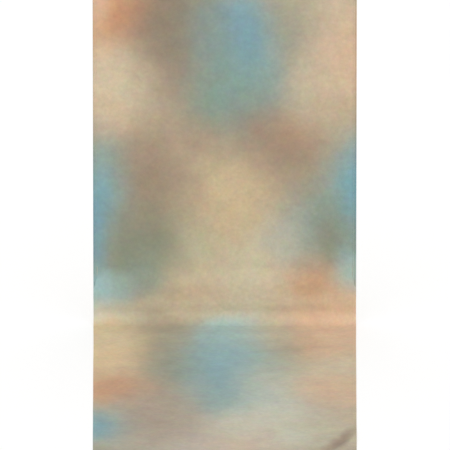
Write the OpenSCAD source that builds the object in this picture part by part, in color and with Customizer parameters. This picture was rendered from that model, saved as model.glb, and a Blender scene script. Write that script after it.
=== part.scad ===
// Collapsible backdrop panel: a two-ply cloth panel held taut by a spring-steel
// band hidden in its rim. Its front cloth leaves the panel above the foot, sweeps
// down in front of the rim and runs on along the floor as a train. Three webbing
// hanging tabs along the top. Millimetres. X across, -Y to the front, +Z up.
// The origin is the centre of the middle eyelet, from which the panel hangs.
// The band, casing and cloth are continuous on the real object. They are cut here
// only along the mid-height fold line and along the two fold lines of the train.

/* [Panel] */
// Width of the panel across the rim
panel_w = 1524; // [1200:2:1800]
// Height of the panel from foot to top rim
panel_h = 2134; // [1900:2:2400]
// Outer radius of the rounded corners
corner_r = 150; // [120:5:320]
// Height of the fold line above the foot
fold_z = 1120; // [1040:5:1180]
// Gap left at each fold line between the two sides
fold_gap = 1; // [0.6:0.1:2]
// Thickness of one cloth ply
ply_t = 0.65; // [0.4:0.05:0.7]

/* [Rim] */
// Depth of the rim casing front to back
bead_w = 13.2; // [12:0.1:16]
// Height of the rim casing across the rim
bead_h = 6.8; // [6:0.1:9]
// Wall of the rim casing
bead_wall = 0.9; // [0.6:0.1:1.2]
// How far the casing's sewn flange reaches from the panel's outer edge
flange_reach = 22; // [18:1:30]
// Thickness of the casing's sewn flange
flange_t = 0.75; // [0.4:0.05:1]

/* [Spring band] */
// Width of the flat spring-steel band
band_w = 10; // [8:0.5:10]
// Thickness of the flat spring-steel band
band_t = 1.2; // [0.8:0.1:1.4]
// Length of the crimped sleeve that joins the band's two ends
sleeve_len = 60; // [50:1:90]

/* [Sweep] */
// Height at which the front cloth leaves the plane of the panel
leave_z = 332; // [300:2:420]
// Radius of the curve in which the front cloth meets the floor
sweep_r = 72.8; // [50:0.1:90]

/* [Train] */
// How far the train reaches from the panel to its end
train_reach = 2438; // [1900:3:2850]
// Thickness of the train's cloth
train_t = 0.8; // [0.6:0.1:1.2]
// Width of the turned hem along the train's sides and end
hem_w = 20; // [12:1:30]

/* [Hanging tabs] */
// Width of the webbing tabs
tab_w = 25; // [20:1:40]
// Thickness of one webbing layer
web_t = 1.2; // [0.8:0.1:1.6]
// Distance from the middle tab to each outer tab
tab_pitch = 480; // [300:5:540]
// Height of the eyelet's centre above the top rim
eyelet_rise = 27; // [24:1:40]
// Inner radius of the eyelets
eyelet_r = 4.75; // [3.5:0.05:5.5]

/* [Hidden] */
$fn = 96;

hang_z = panel_h + eyelet_rise;
half_w = panel_w / 2;
cut_lo = fold_z - fold_gap / 2;
cut_hi = fold_z + fold_gap / 2;
ply_gap = 0.05;
field_in = bead_h + 0.2;
flange_v = ply_gap + ply_t + 0.05;
flange_out = flange_v + flange_t;
// the band sits in the middle of its pocket
pocket_mid = bead_h / 2;
// the free front cloth hangs just clear of the rim's front
apron_y = -(bead_w / 2 + 0.6);
// the sweep ends, and the train's three sections begin, at train_y0
train_y0 = apron_y - sweep_r;
section_len = (train_reach + train_y0) / 3;
// the hinge line of each free tab, just above the rim
tab_axis_rise = 4;
thread_t = 0.3;
thread_w = 0.8;

sand = [0.76, 0.68, 0.55];
dusk_blue = [0.55, 0.66, 0.67];
sage = [0.63, 0.64, 0.54];
oatmeal = [0.71, 0.68, 0.60];
steel = [0.62, 0.63, 0.65];
thread = [0.80, 0.76, 0.66];
webbing = [0.13, 0.13, 0.14];
brassy = [0.72, 0.70, 0.66];

// Moves the floor-based layout so that the middle eyelet is the origin
module place() {
    translate([0, 0, -hang_z]) children();
}

// ---- sweeping a section round the rim ----------------------------------------
// The section's x is the distance in from the outer edge, and its y is depth.

module corner_sweep(turn, cx, cz) {
    translate([cx, 0, cz]) rotate([-90, 0, 0]) rotate([0, 0, turn])
        rotate_extrude(angle = 90)
            translate([corner_r, 0]) mirror([1, 0]) children();
}

module side_sweep(z0, z1) {
    translate([-half_w, 0, z0]) linear_extrude(z1 - z0) children();
    translate([half_w, 0, z1]) rotate([0, 180, 0]) linear_extrude(z1 - z0) children();
}

module foot_sweep(x0, x1) {
    translate([x1, 0, 0]) rotate([0, -90, 0]) linear_extrude(x1 - x0) children();
}

module top_sweep(x0, x1) {
    translate([x0, 0, panel_h]) rotate([0, 90, 0]) linear_extrude(x1 - x0) children();
}

// The lower half of the rim, with an optional gap at the middle of the foot
module lower_sweep(gap = 0) {
    side_sweep(corner_r, cut_lo) children();
    corner_sweep(0, half_w - corner_r, corner_r) children();
    corner_sweep(90, -(half_w - corner_r), corner_r) children();
    if (gap > 0) {
        foot_sweep(-(half_w - corner_r), -gap / 2) children();
        foot_sweep(gap / 2, half_w - corner_r) children();
    } else {
        foot_sweep(-(half_w - corner_r), half_w - corner_r) children();
    }
}

module upper_sweep() {
    side_sweep(cut_hi, panel_h - corner_r) children();
    corner_sweep(180, -(half_w - corner_r), panel_h - corner_r) children();
    corner_sweep(270, half_w - corner_r, panel_h - corner_r) children();
    top_sweep(-(half_w - corner_r), half_w - corner_r) children();
}

// ---- sections -----------------------------------------------------------------

module casing_section() {
    c = 1.2;
    difference() {
        union() {
            polygon([[c, -bead_w / 2], [bead_h, -bead_w / 2], [bead_h, bead_w / 2],
                     [c, bead_w / 2], [0, bead_w / 2 - c], [0, -bead_w / 2 + c]]);
            translate([bead_h - bead_wall, -flange_out])
                square([flange_reach - bead_h + bead_wall, flange_t]);
            translate([bead_h - bead_wall, flange_v])
                square([flange_reach - bead_h + bead_wall, flange_t]);
        }
        translate([bead_wall, -band_w / 2 - 0.7])
            square([bead_h - 2 * bead_wall, band_w + 1.4]);
    }
}

module band_section() {
    translate([pocket_mid - band_t / 2, -band_w / 2]) square([band_t, band_w]);
}

module stitch_section() {
    for (u = [12, 18.5]) {
        translate([u - thread_w / 2, -flange_out - thread_t]) square([thread_w, thread_t]);
        translate([u - thread_w / 2, flange_out]) square([thread_w, thread_t]);
    }
}

// ---- panel cloth ----------------------------------------------------------------

// One ply of the field between y0 and y1, lower half
module field_lower(y0, y1) {
    d = field_in;
    translate([-(half_w - d), y0, corner_r])
        cube([panel_w - 2 * d, y1 - y0, cut_lo - corner_r]);
    translate([-(half_w - corner_r), y0, d])
        cube([panel_w - 2 * corner_r, y1 - y0, corner_r - d]);
    for (s = [0, 1])
        translate([(1 - 2 * s) * (half_w - corner_r), y0, corner_r])
            rotate([-90, 0, 0]) rotate([0, 0, s * 90])
                rotate_extrude(angle = 90) square([corner_r - d, y1 - y0]);
}

// One ply of the field between y0 and y1, upper half
module field_upper(y0, y1) {
    d = field_in;
    translate([-(half_w - d), y0, cut_hi])
        cube([panel_w - 2 * d, y1 - y0, panel_h - corner_r - cut_hi]);
    translate([-(half_w - corner_r), y0, panel_h - corner_r])
        cube([panel_w - 2 * corner_r, y1 - y0, corner_r - d]);
    for (s = [0, 1])
        translate([(2 * s - 1) * (half_w - corner_r), y0, panel_h - corner_r])
            rotate([-90, 0, 0]) rotate([0, 0, 180 + s * 90])
                rotate_extrude(angle = 90) square([corner_r - d, y1 - y0]);
}

// The front cloth below the fold: flat in the rim, then eased forward between the
// flanges, then free and full width in front of the rim down to the floor
module front_muslin_lower() {
    d = field_in;
    free_z = corner_r + 6;
    side = half_w - flange_reach - 5;
    steps = 12;
    cy = apron_y - sweep_r;
    back = [for (i = [0:steps]) let (a = -90 * i / steps)
        [cy + sweep_r * cos(a), sweep_r + sweep_r * sin(a)]];
    face = [for (i = [steps:-1:0]) let (a = -90 * i / steps, r = sweep_r - ply_t)
        [cy + r * cos(a), sweep_r + r * sin(a)]];
    color(dusk_blue) place() {
        translate([-(half_w - d), -ply_gap - ply_t, leave_z])
            cube([panel_w - 2 * d, ply_t, cut_lo - leave_z]);
        translate([-side, 0, 0]) rotate([90, 0, 90]) linear_extrude(2 * side)
            polygon([[-ply_gap, leave_z], [apron_y, free_z],
                     [apron_y - ply_t, free_z], [-ply_gap - ply_t, leave_z]]);
        translate([-half_w, 0, 0]) rotate([90, 0, 90]) linear_extrude(panel_w)
            polygon(concat([[apron_y, free_z]], back, face,
                           [[apron_y - ply_t, free_z]]));
    }
}

module front_muslin_upper() {
    color(sand) place() field_upper(-ply_gap - ply_t, -ply_gap);
}

module back_lining_lower() {
    color(oatmeal) place() field_lower(ply_gap, ply_gap + ply_t);
}

module back_lining_upper() {
    color(oatmeal) place() field_upper(ply_gap, ply_gap + ply_t);
}

// ---- rim ------------------------------------------------------------------------

module rim_casing_lower() {
    color(sage) place() lower_sweep() casing_section();
}

module rim_casing_upper() {
    color(sage) place() upper_sweep() casing_section();
}

module rim_stitching_lower() {
    color(thread) place() lower_sweep() stitch_section();
}

module rim_stitching_upper() {
    color(thread) place() upper_sweep() stitch_section();
}

// The two ends of the band butt at the middle of the foot, drilled for rivets
module spring_band_lower() {
    color(steel) place() difference() {
        lower_sweep(1) band_section();
        rivet_row(1.55, -2, bead_h + 2);
    }
}

module spring_band_upper() {
    color(steel) place() upper_sweep() band_section();
}

module rivet_row(r, z0, z1) {
    for (x = [-sleeve_len / 3, -sleeve_len / 6, sleeve_len / 6, sleeve_len / 3])
        translate([x, 0, z0]) cylinder(r = r, h = z1 - z0, $fn = 48);
}

// Crimped sleeve round the band's butted ends
module band_splice_sleeve() {
    inner = band_t / 2 + 0.1;
    wall = 0.8;
    color(steel) place() difference() {
        translate([-sleeve_len / 2, -band_w / 2 - 0.6, pocket_mid - inner - wall])
            cube([sleeve_len, band_w + 1.2, 2 * (inner + wall)]);
        translate([-sleeve_len / 2 - 1, -band_w / 2 - 0.1, pocket_mid - inner])
            cube([sleeve_len + 2, band_w + 0.2, 2 * inner]);
        rivet_row(1.55, -2, bead_h + 2);
    }
}

module splice_rivets() {
    reach = band_t / 2 + 0.9;
    head = 0.55;
    color(steel) place() {
        rivet_row(1.5, pocket_mid - reach - head, pocket_mid + reach + head);
        rivet_row(2.4, pocket_mid - reach - head, pocket_mid - reach);
        rivet_row(2.4, pocket_mid + reach, pocket_mid + reach + head);
    }
}

// ---- train ----------------------------------------------------------------------

// One section of the train: cloth with turned side hems, and an end hem if asked
module train_section(n, end_hem = false) {
    y1 = train_y0 - n * section_len - fold_gap / 2;
    y0 = train_y0 - (n + 1) * section_len + (end_hem ? 0 : fold_gap / 2);
    translate([-half_w, y0, 0]) cube([panel_w, y1 - y0, train_t]);
    for (x = [-half_w, half_w - hem_w])
        translate([x, y0, 0]) cube([hem_w, y1 - y0, 2 * train_t]);
    if (end_hem)
        translate([-half_w, y0, 0]) cube([panel_w, hem_w, 2 * train_t]);
}

module train_section_stitching(n, end_hem = false) {
    y1 = train_y0 - n * section_len - fold_gap / 2 - 1;
    y0 = train_y0 - (n + 1) * section_len + (end_hem ? hem_w - 2 : fold_gap / 2 + 1);
    for (s = [-1, 1])
        translate([s * (half_w - hem_w + 2) - thread_w / 2, y0, 2 * train_t])
            cube([thread_w, y1 - y0, thread_t]);
    if (end_hem)
        translate([-(half_w - hem_w + 2), y0, 2 * train_t])
            cube([panel_w - 2 * hem_w + 4, thread_w, thread_t]);
}

module train_cloth_inner() { color(sand) place() train_section(0); }
module train_cloth_middle() { color(dusk_blue) place() train_section(1); }
module train_cloth_outer() { color(sage) place() train_section(2, true); }

module train_hem_stitching_inner() { color(thread) place() train_section_stitching(0); }
module train_hem_stitching_middle() { color(thread) place() train_section_stitching(1); }
module train_hem_stitching_outer() { color(thread) place() train_section_stitching(2, true); }

// ---- hanging tabs -----------------------------------------------------------------

// Webbing wrapped over the top rim, its two ends sewn to the casing's flanges
module tab_anchor(x) {
    lap = flange_out + thread_t + 0.05;
    over = bead_w / 2 + 0.2;
    t = web_t;
    color(webbing) place()
        translate([x - tab_w / 2, 0, panel_h]) rotate([90, 0, 90])
            linear_extrude(tab_w)
                polygon([[-lap, -46], [-lap, -22], [-over, -9], [-over, 0.2],
                         [over, 0.2], [over, -9], [lap, -22], [lap, -46],
                         [lap + t, -46], [lap + t, -22], [over + t, -9],
                         [over + t, 0.2 + t], [-over - t, 0.2 + t], [-over - t, -9],
                         [-lap - t, -22], [-lap - t, -46]]);
}

// Box stitches that hold the ends of the three anchors
module tab_anchor_stitching() {
    lap = flange_out + thread_t + 0.05 + web_t;
    color(thread) place()
        for (x = [-tab_pitch, 0, tab_pitch], y = [-lap - thread_t, lap])
            translate([x, y, panel_h - 34]) {
                for (z = [-9, 8.2])
                    translate([-tab_w / 2 + 3, 0, z]) cube([tab_w - 6, thread_t, thread_w]);
                for (dx = [-tab_w / 2 + 3, tab_w / 2 - 3 - thread_w])
                    translate([dx, 0, -8.2]) cube([thread_w, thread_t, 16.4]);
            }
}

// The free end of a tab: two layers of webbing with a round end and an eyelet hole
module hang_tab(x) {
    color(webbing) place() difference() {
        translate([x, -web_t, 0]) union() {
            translate([-tab_w / 2, 0, panel_h + tab_axis_rise + 0.5])
                cube([tab_w, 2 * web_t, eyelet_rise - tab_axis_rise - 0.5]);
            translate([0, 0, hang_z]) rotate([-90, 0, 0])
                rotate([0, 0, 180]) rotate_extrude(angle = 180)
                    square([tab_w / 2, 2 * web_t]);
        }
        translate([x, -5, hang_z]) rotate([-90, 0, 0])
            cylinder(r = eyelet_r + 1.25, h = 10);
    }
}

// Eyelet: front flange, straight barrel and the lip rolled over the washer
module eyelet(x) {
    w = web_t;
    color(brassy) place() translate([x, 0, hang_z]) rotate([-90, 0, 0])
        rotate_extrude()
            polygon([[eyelet_r, -w - 1.2], [eyelet_r + 3.8, -w - 1.2],
                     [eyelet_r + 4.4, -w - 0.05], [eyelet_r + 1.15, -w - 0.05],
                     [eyelet_r + 1.15, w + 0.8], [eyelet_r + 2.2, w + 0.8],
                     [eyelet_r + 2.2, w + 1.2], [eyelet_r, w + 1.2]]);
}

module eyelet_washer(x) {
    w = web_t;
    color(brassy) place() translate([x, 0, hang_z]) rotate([-90, 0, 0])
        rotate_extrude()
            polygon([[eyelet_r + 1.2, w + 0.05], [eyelet_r + 4.6, w + 0.05],
                     [eyelet_r + 4.6, w + 0.5], [eyelet_r + 3.6, w + 0.75],
                     [eyelet_r + 1.2, w + 0.75]]);
}

module tab_anchor_left() { tab_anchor(-tab_pitch); }
module tab_anchor_centre() { tab_anchor(0); }
module tab_anchor_right() { tab_anchor(tab_pitch); }
module hang_tab_left() { hang_tab(-tab_pitch); }
module hang_tab_centre() { hang_tab(0); }
module hang_tab_right() { hang_tab(tab_pitch); }
module eyelet_left() { eyelet(-tab_pitch); }
module eyelet_centre() { eyelet(0); }
module eyelet_right() { eyelet(tab_pitch); }
module eyelet_washer_left() { eyelet_washer(-tab_pitch); }
module eyelet_washer_centre() { eyelet_washer(0); }
module eyelet_washer_right() { eyelet_washer(tab_pitch); }

front_muslin_lower();
back_lining_lower();
rim_casing_lower();
spring_band_lower();
band_splice_sleeve();
splice_rivets();
rim_stitching_lower();
front_muslin_upper();
back_lining_upper();
rim_casing_upper();
spring_band_upper();
rim_stitching_upper();
tab_anchor_left();
tab_anchor_centre();
tab_anchor_right();
tab_anchor_stitching();
hang_tab_left();
hang_tab_centre();
hang_tab_right();
eyelet_left();
eyelet_centre();
eyelet_right();
eyelet_washer_left();
eyelet_washer_centre();
eyelet_washer_right();
train_cloth_inner();
train_cloth_middle();
train_cloth_outer();
train_hem_stitching_inner();
train_hem_stitching_middle();
train_hem_stitching_outer();
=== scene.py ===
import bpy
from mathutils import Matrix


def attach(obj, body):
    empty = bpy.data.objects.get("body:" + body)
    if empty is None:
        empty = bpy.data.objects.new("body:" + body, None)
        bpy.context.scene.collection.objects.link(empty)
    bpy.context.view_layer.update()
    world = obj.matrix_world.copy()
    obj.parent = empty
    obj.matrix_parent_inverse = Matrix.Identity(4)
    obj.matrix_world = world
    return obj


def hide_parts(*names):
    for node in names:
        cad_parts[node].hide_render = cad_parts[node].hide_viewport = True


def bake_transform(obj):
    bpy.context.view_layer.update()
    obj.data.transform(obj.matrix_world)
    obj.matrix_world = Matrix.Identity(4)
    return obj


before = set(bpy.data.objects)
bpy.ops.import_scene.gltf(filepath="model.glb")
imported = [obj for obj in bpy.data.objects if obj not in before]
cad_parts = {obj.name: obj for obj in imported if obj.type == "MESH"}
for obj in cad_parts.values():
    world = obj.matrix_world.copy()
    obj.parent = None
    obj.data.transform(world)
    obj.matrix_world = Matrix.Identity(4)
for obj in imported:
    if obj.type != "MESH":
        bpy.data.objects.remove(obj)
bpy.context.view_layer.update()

import math

import bpy
import numpy as np

# Lengths are metres. Heights are measured from the floor the train lies on and
# moved down by FLOOR_Z at the end, because the frame's origin is the middle eyelet.
FLOOR_Z = -2.161
HALF_W = 0.762
PANEL_H = 2.134
CORNER = 0.150
FLANGE = 0.022
INNER_R = CORNER - 0.0085      # the corners of the cloth inside the casing
RIM_TOP = PANEL_H
EYELET_Z = PANEL_H + 0.027
TABS = {"left": -0.480, "centre": 0.0, "right": 0.480}

# the sweep's curve and the far end of the train, along the front cloth
COVE_Y, COVE_Z, COVE_R = -0.080, 0.0728, 0.0722
ARC = COVE_R * math.pi / 2
TRAIN_END = 2.438
V_END = -(ARC + TRAIN_END + COVE_Y)


def smooth(t):
    t = np.clip(t, 0.0, 1.0)
    return t * t * (3 - 2 * t)


def bell(t):
    return np.exp(-t * t)


class Ripple:
    """Seeded gradient noise over a plane, about -0.7 to 0.7."""

    def __init__(self, seed, n=128):
        angle = np.random.RandomState(seed).uniform(0, 2 * np.pi, (n, n))
        self.g = np.stack([np.cos(angle), np.sin(angle)], -1)
        self.n = n

    def __call__(self, x, y):
        x, y = np.broadcast_arrays(np.asarray(x, float), np.asarray(y, float))
        xi, yi = np.floor(x).astype(int), np.floor(y).astype(int)
        fx, fy = x - xi, y - yi

        def corner(i, j):
            g = self.g[(yi + j) % self.n, (xi + i) % self.n]
            return g[..., 0] * (fx - i) + g[..., 1] * (fy - j)

        sx = fx * fx * fx * (fx * (fx * 6 - 15) + 10)
        sy = fy * fy * fy * (fy * (fy * 6 - 15) + 10)
        low = corner(0, 0) * (1 - sx) + corner(1, 0) * sx
        high = corner(0, 1) * (1 - sx) + corner(1, 1) * sx
        return low * (1 - sy) + high * sy


broad, mid_n, fine_n, flute_n, edge_n = (Ripple(s) for s in (11, 23, 37, 41, 59))

# ------------------------------------------------------------------ front cloth


def half_width(v):
    """Half the front cloth's width: under the flanges, free of them where the cloth
    comes forward, then full width in front of the rim, a little drawn in along the train."""
    z = COVE_Z + v
    w = np.full_like(v, 0.7535)
    w += (0.7380 - 0.7535) * smooth((0.362 - z) / 0.022)
    w += (0.7515 - 0.7380) * smooth((0.300 - z) / 0.065)
    w += (0.7614 - 0.7515) * smooth((0.235 - z) / 0.030)
    run = np.clip(-v - ARC, 0, None)
    w -= 0.0105 * np.clip(run / 2.358, 0, 1)
    w -= 0.0010 * smooth(run / 0.2) * (0.7 + edge_n(run * 3.1, run * 0 + 0.37))
    over = np.clip(z - (PANEL_H - CORNER), 0, INNER_R - 0.0001)
    return np.where(z > PANEL_H - CORNER,
                    HALF_W - CORNER + np.sqrt(INNER_R ** 2 - over ** 2), w)


def ridge(x, d, x0, d0, x1, d1, wide, tall, lean=0.0, ends=0.12):
    """A soft fold running from one point of the train to another."""
    dx, dd = x1 - x0, d1 - d0
    length = math.hypot(dx, dd)
    along = ((x - x0) * dx + (d - d0) * dd) / length
    off = ((d - d0) * dx - (x - x0) * dd) / length
    off = off + 0.16 * wide * np.sin(along * 17.0 + 4.0 * x0)
    k = np.where(off > 0, 1 + lean, 1 - lean)
    fade = smooth((along + ends) / (2 * ends)) * smooth((length + ends - along) / (2 * ends))
    return tall * fade * bell(off / (wide * k))


def inside_rim(x, z, foot=False):
    """How far inside the panel's rounded outline a point lies."""
    dx = np.abs(x) - (HALF_W - CORNER)
    dz = z - (PANEL_H - CORNER)
    if foot:
        dz = np.maximum(dz, CORNER - z)
    return np.where((dx > 0) & (dz > 0), CORNER - np.hypot(dx, dz), CORNER - np.maximum(dx, dz))


def relief(x, v):
    """How far the cloth stands off its even surface, along its front."""
    z = COVE_Z + v
    d = -v - ARC - COVE_Y
    wall = smooth(v / 0.05)
    floor = smooth((-v - 0.6 * ARC) / (0.6 * ARC))
    # taut field: broad unevenness, pull marks along the rim, faint packing creases
    edge = inside_rim(x, z) - FLANGE
    pull = np.clip(edge / 0.024, 0, None)
    pull = pull * np.exp(1 - pull)
    along = np.where(HALF_W - np.abs(x) < PANEL_H - z, z, x)
    taut = smooth((z - 0.33) / 0.05) * (
        0.00045 * pull * (0.8 + np.sin(along * 105 + 5.0 * edge_n(along * 6, x * 0.7)))
        + smooth(edge / 0.05) * (
            0.0011 * (0.55 + broad(x * 2.1 + 3, z * 1.9))
            + 0.00035 * (0.6 + mid_n(x * 7.5, z * 8.5))
            + 0.00055 * bell((z - 1.257 - 0.02 * (x + 0.36)) / 0.007) * smooth((x + 0.47) / 0.05) * smooth((-0.27 - x) / 0.05)
            + 0.00050 * bell((z - 0.715 + 0.05 * (x + 0.53)) / 0.008) * smooth((x + 0.62) / 0.05) * smooth((-0.44 - x) / 0.05)
            + 0.00040 * bell((z - 1.62 - 0.11 * (x - 0.3)) / 0.010) * smooth((x - 0.12) / 0.08) * smooth((0.52 - x) / 0.08)
            + 0.00040 * bell((x - 0.235 - 0.05 * (z - 0.9)) / 0.009) * smooth((z - 0.62) / 0.1) * smooth((1.25 - z) / 0.1)
        )
    )
    # where it hangs free: slack flutes that die out at the rim
    slack = smooth((0.335 - z) / 0.10) * wall
    free = slack * smooth((HALF_W - 0.012 - np.abs(x)) / 0.06) * (
        0.0040 * (0.55 + flute_n(x * 4.6, z * 1.6 + 5))
        + 0.0012 * (0.5 + mid_n(x * 15 + 2, z * 6))
    )
    # on the floor: flat where it touches, low folds across, mostly near the foot
    near = bell((d - 0.30) / 0.55)
    lying = floor * (
        0.0018 * np.clip(0.20 + broad(x * 1.7 + 9, d * 5.2), 0, None) * (0.6 + near)
        + 0.0013 * np.clip(0.25 + mid_n(x * 3.6, d * 12.0), 0, None)
        + 0.00035 * (0.6 + fine_n(x * 16, d * 26))
        + ridge(x, d, -0.50, 0.225, 0.30, 0.205, 0.055, 0.0042)
        + ridge(x, d, 0.10, 0.215, 0.78, 0.165, 0.050, 0.0046, 0.25)
        + ridge(x, d, 0.16, 0.560, 0.80, 0.415, 0.048, 0.0050, 0.3)
        + ridge(x, d, -0.80, 0.400, -0.20, 0.445, 0.060, 0.0024)
        + ridge(x, d, -0.62, 1.330, -0.25, 1.365, 0.060, 0.0042, 0.2)
        + ridge(x, d, 0.48, 1.215, 0.80, 1.255, 0.055, 0.0046, 0.2)
        + ridge(x, d, -0.10, 0.980, 0.35, 1.020, 0.070, 0.0020)
        + ridge(x, d, 0.82, 1.722, 0.52, 2.411, 0.032, 0.0112, -0.25, 0.06)
        + ridge(x, d, -0.80, 1.900, -0.30, 2.060, 0.055, 0.0030)
        + ridge(x, d, -0.30, 2.200, 0.30, 2.150, 0.060, 0.0030)
    )
    # the fold where it turns on to the floor
    turn = bell((v + ARC * 0.70) / 0.030) * (
        0.0022 * (0.5 + flute_n(x * 5.5 + 7, 2.3)) * smooth((0.745 - np.abs(x)) / 0.05))
    calm = 0.55 + 0.45 * smooth((HALF_W - 0.01 - np.abs(x)) / 0.06)
    return wall * taut + free + calm * lying + turn


def base_line(v):
    """The even surface's middle line: depth, height and its front direction."""
    a = np.clip(-v / COVE_R, 0, math.pi / 2)
    z_up = COVE_Z + v
    y_up = -0.0004 - 0.0074 * smooth((0.345 - z_up) / 0.15)
    run = np.clip(-v - ARC, 0, None)
    y = np.where(v > 0, y_up, COVE_Y + COVE_R * np.cos(a) - run)
    z = np.where(v > 0, z_up, COVE_Z - COVE_R * np.sin(a))
    return y, z, -np.cos(a), np.sin(a)


def hem(x, v):
    """0 in the cloth's middle, 1 on the turned hem."""
    loose = smooth((0.20 - COVE_Z - v) / 0.03)
    e = half_width(v) - np.abs(x)
    side = 1 - smooth((e - 0.0185) / 0.002)
    end = 1 - smooth((v - V_END - 0.0185) / 0.002)
    return loose * np.maximum(side, end)


def thickness(v):
    return 0.0006 + 0.0003 * smooth((0.30 - COVE_Z - v) / 0.1)


def front_at(x, v):
    y, z, ny, nz = base_line(v)
    h = relief(x, v) + thickness(v) / 2 + 0.0007 * hem(x, v)
    loose = smooth((0.30 - COVE_Z - v) / 0.1)
    e = np.minimum(half_width(v) - np.abs(x), v - V_END)
    h = h - loose * 0.00045 * (1 - np.clip(e / 0.0012, 0, 1)) ** 2
    return np.stack([x, y + ny * h, z + nz * h + FLOOR_Z], -1)


def back_at(x, v):
    y, z, ny, nz = base_line(v)
    h = relief(x, v) - thickness(v) / 2
    return np.stack([x, y + ny * h, z + nz * h + FLOOR_Z], -1)


def normal_at(point, x, v, step=0.0012):
    a = point(x + step, v) - point(x - step, v)
    b = point(x, v + step) - point(x, v - step)
    n = np.cross(a, b)
    return n / np.maximum(np.linalg.norm(n, axis=-1, keepdims=True), 1e-12)


def new_mesh(name, verts, faces, material, smooth_shade=True):
    mesh = bpy.data.meshes.new(name)
    mesh.from_pydata(np.asarray(verts, float).reshape(-1, 3).tolist(), [],
                     [tuple(int(i) for i in f) for f in faces])
    mesh.validate()
    mesh.update()
    if smooth_shade:
        mesh.polygons.foreach_set("use_smooth", np.ones(len(mesh.polygons), bool))
    ob = bpy.data.objects.new(name, mesh)
    bpy.context.scene.collection.objects.link(ob)
    if material is not None:
        mesh.materials.append(material)
    return ob


def set_uv(ob, name, per_vertex):
    layer = ob.data.uv_layers.new(name=name)
    loops = np.empty(len(ob.data.loops), np.int64)
    ob.data.loops.foreach_get("vertex_index", loops)
    layer.data.foreach_set("uv", np.asarray(per_vertex, np.float32)[loops].ravel())
    return layer


def grid_faces(rows, cols, start, flip):
    i, j = np.meshgrid(np.arange(rows - 1), np.arange(cols - 1), indexing="ij")
    a = (start + i * cols + j).ravel()
    quad = np.stack([a, a + 1, a + cols + 1, a + cols], 1)
    return quad[:, ::-1] if flip else quad


def cloth_piece(name, v_rows, s_cols, material, points=(front_at, back_at), width=half_width,
                down=False):
    """A closed thin piece of cloth: rows follow v, columns s from -1 to 1 of the half width.
    Its two faces carry the surface's own normals, so a cut between two pieces doesn't show."""
    v = np.asarray(v_rows, float)[:, None] + 0 * np.asarray(s_cols)[None, :]
    x = width(v) * np.asarray(s_cols)[None, :]
    rows, cols = x.shape
    top, bottom = points[0](x, v), points[1](x, v)
    n = rows * cols
    verts = np.concatenate([top.reshape(-1, 3), bottom.reshape(-1, 3)])
    ascending = v_rows[-1] > v_rows[0]
    front = grid_faces(rows, cols, 0, flip=not ascending)
    back = grid_faces(rows, cols, n, flip=ascending)
    loop = ([(0, j) for j in range(cols - 1)] + [(i, cols - 1) for i in range(rows - 1)]
            + [(rows - 1, j) for j in range(cols - 1, 0, -1)] + [(i, 0) for i in range(rows - 1, 0, -1)])
    ring = np.array([i * cols + j for i, j in loop])
    nxt = np.roll(ring, -1)
    walls = np.stack([ring, ring + n, nxt + n, nxt], 1)
    if not ascending:
        walls = walls[:, ::-1]
    faces = np.concatenate([front, back, walls])
    ob = new_mesh(name, verts, faces, material)
    mesh = ob.data
    nf = normal_at(points[0], x, v).reshape(-1, 3)
    nb = -normal_at(points[1], x, v).reshape(-1, 3)
    per_vertex = np.concatenate([nf, nb])
    corner = per_vertex[faces.ravel()]
    k = 4 * (len(front) + len(back))
    p = verts[walls]
    wall_n = np.cross(p[:, 1] - p[:, 0], p[:, 2] - p[:, 0])
    wall_n /= np.maximum(np.linalg.norm(wall_n, axis=1, keepdims=True), 1e-12)
    corner[k:] = np.repeat(wall_n, 4, axis=0)
    mesh.normals_split_custom_set(corner.tolist())
    # cloth coordinates in metres, and a second map laid out without overlaps
    metres = np.stack([x.ravel(), v.ravel()], 1)
    bake = ob.data.uv_layers.new(name="OFBake")
    fu = (x.ravel() - x.min()) / (x.max() - x.min())
    fv = (v.ravel() - v.min()) / (v.max() - v.min())
    at_front = np.stack([0.012 + 0.976 * fu, 0.012 + 0.790 * fv], 1)
    at_back = np.stack([0.012 + 0.976 * fu, 0.822 + 0.140 * fv], 1)
    lay = np.concatenate([at_front, at_back])[faces.ravel()]
    m = len(walls)
    t = np.arange(m) / m
    strip = np.empty((m, 4, 2))
    for c, (du, dv) in enumerate([(0, 0), (0, 1), (1, 1), (1, 0)]):
        strip[:, c, 0] = 0.012 + 0.976 * (t + du / m)
        strip[:, c, 1] = 0.974 + 0.014 * dv
    if not ascending:
        strip = strip[:, ::-1]
    lay[k:] = strip.reshape(-1, 2)
    bake.data.foreach_set("uv", lay.astype(np.float32).ravel())
    set_uv(ob, "ClothUV", np.concatenate([metres, metres]))
    return ob


def columns(hem_cols, step):
    """Columns from -1 to 1, closer together across a hem."""
    near = [0, 0.0006, 0.0013, 0.004, 0.009, 0.014, 0.0178, 0.0192, 0.0206, 0.0225, 0.028, 0.036] if hem_cols else [0, 0.008, 0.016, 0.022, 0.030, 0.040]
    near = np.array(near) / HALF_W
    inner = np.linspace(-1 + near[-1], 1 - near[-1], int(round((2 - 2 * near[-1]) * HALF_W / step)) + 1)
    return np.concatenate([-1 + near[:-1], inner, (1 - near[:-1])[::-1]])


def steps(a, b, step):
    return np.linspace(a, b, max(2, int(round(abs(b - a) / step)) + 1))


# ------------------------------------------------------------------------ dye

def linear(rgb):
    c = np.asarray(rgb, float) / 255
    return np.where(c <= 0.04045, c / 12.92, ((c + 0.055) / 1.055) ** 2.4)


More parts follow.
